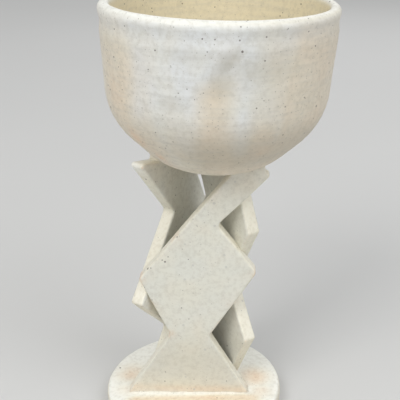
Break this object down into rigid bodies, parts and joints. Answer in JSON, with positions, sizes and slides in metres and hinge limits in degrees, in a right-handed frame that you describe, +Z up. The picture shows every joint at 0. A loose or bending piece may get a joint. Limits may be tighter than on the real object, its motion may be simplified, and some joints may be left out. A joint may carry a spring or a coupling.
{
  "type": "communion chalice",
  "caption": "Handmade stoneware chalice: a thrown bowl carried by zigzag slab legs set as the sides of a prism on a round slab foot.",
  "frame": {"origin": "centre of the underside of the foot disc, on the surface it rests on", "axes": "+Z up; the front leg faces -Y, +X to the right as seen from the front"},
  "size_m": [0.1034, 0.0995, 0.1948],
  "materials": {
    "foot_glaze": "satin cream-white glaze with iron specks and peach patches",
    "bowl_glaze": "satin grey-white glaze with iron specks, buff near the foot, cream inside",
    "leg_glaze": "satin warm white glaze with iron specks, toasted at the corners",
    "coil_glaze": "satin cream-white glaze"
  },
  "bodies": {
    "root": {"foot_disc": "foot_glaze", "bowl": "bowl_glaze", "front_leg": "leg_glaze", "back_right_leg": "leg_glaze", "back_left_leg": "leg_glaze", "foot_coil_front": "coil_glaze", "foot_coil_back_right": "coil_glaze", "foot_coil_back_left": "coil_glaze", "bowl_coil_front": "coil_glaze", "bowl_coil_back_right": "coil_glaze", "bowl_coil_back_left": "coil_glaze"}
  },
  "joints": []
}
